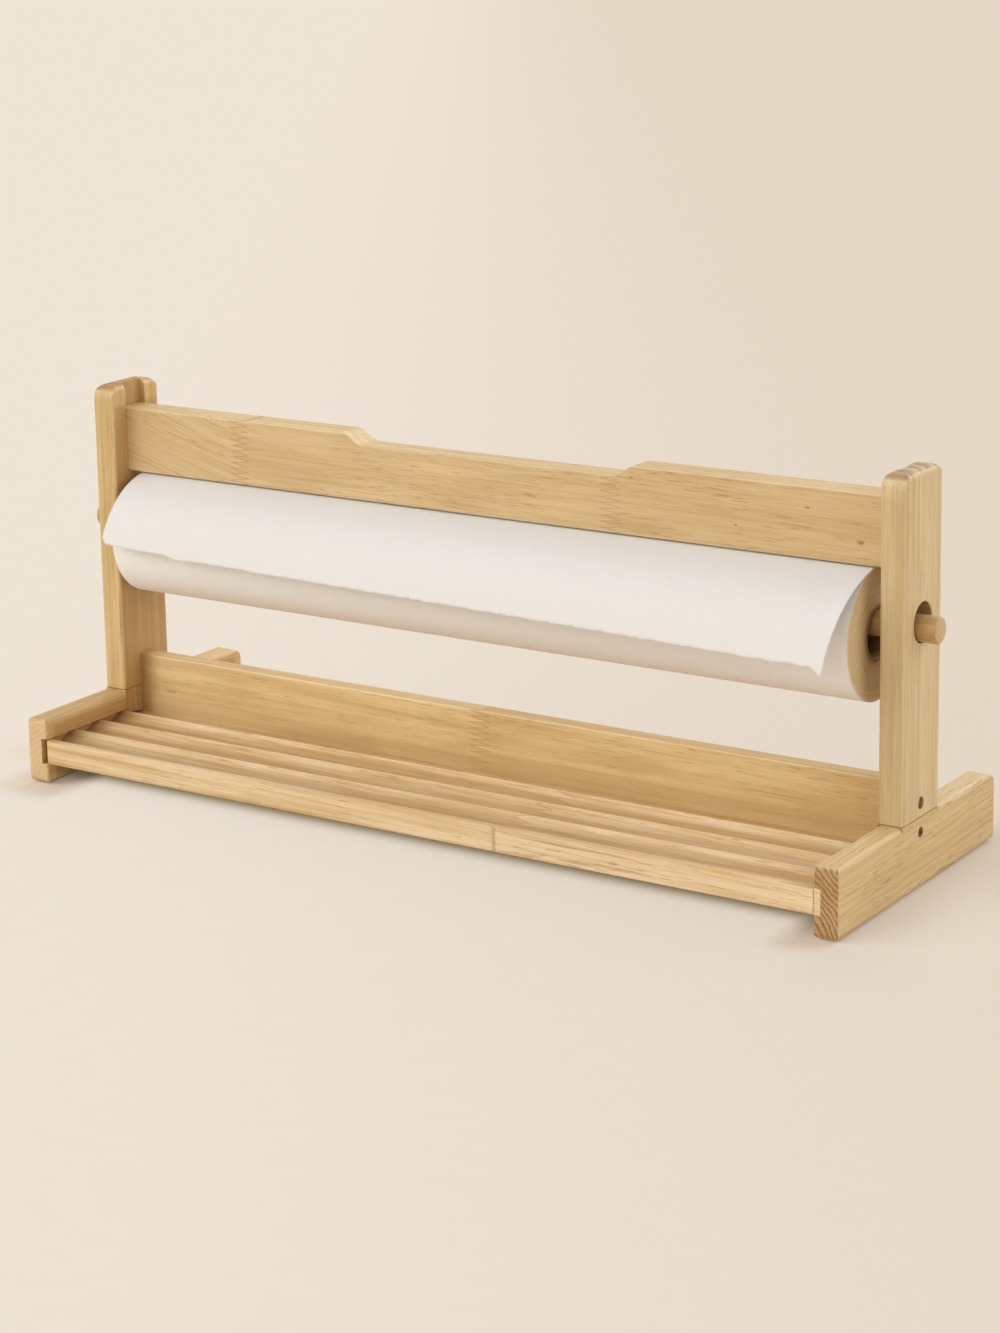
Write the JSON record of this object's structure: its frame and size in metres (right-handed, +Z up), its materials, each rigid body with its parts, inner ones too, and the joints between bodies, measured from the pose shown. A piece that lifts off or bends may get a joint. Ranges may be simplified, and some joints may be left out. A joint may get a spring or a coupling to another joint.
{
  "type": "paper roll dispenser",
  "caption": "Free-standing wooden stand that holds a wide paper roll on a rod between two sides, under a lift-out rail, above a pen shelf with round channels.",
  "frame": {"origin": "middle of the stand between its two sides, at the depth of the uprights' centre, on the table that the feet stand on", "axes": "+X along the paper roll to the right as the user sees it, -Y towards the front where the paper and the pen shelf are, +Z up"},
  "size_m": [0.5161, 0.174, 0.21],
  "materials": {
    "wood_light": "clear oiled, satin",
    "wood_warm": "clear oiled, satin",
    "wood_tan": "clear oiled, satin",
    "roll_paper": "uncoated, matt",
    "core_board": "raw, matt",
    "screw_steel": "plain steel"
  },
  "bodies": {
    "frame": {"left_foot": "wood_light", "right_foot": "wood_light", "left_upright": "wood_light", "right_upright": "wood_light", "left_block": "wood_tan", "right_block": "wood_tan", "shelf": "wood_warm", "back_panel": "wood_warm", "screws": "screw_steel", "dowels": "wood_tan", "sheet": "roll_paper"},
    "rail": {"top_rail": "wood_warm"},
    "rod": {"rod": "wood_tan"},
    "roll": {"core": "core_board", "winding": "roll_paper"}
  },
  "joints": [
    {"name": "rail_lift", "type": "slide", "parent": "frame", "child": "rail", "axis": [0, 0, 1], "range_m": [0, 0.08]},
    {"name": "rod_slide", "type": "slide", "parent": "frame", "child": "rod", "axis": [1, 0, 0], "range_m": [-0.52, 0.52]},
    {"name": "roll_spin", "type": "hinge", "parent": "frame", "child": "roll", "pos_m": [0, 0, 0.1264], "axis": [1, 0, 0], "continuous": true}
  ]
}
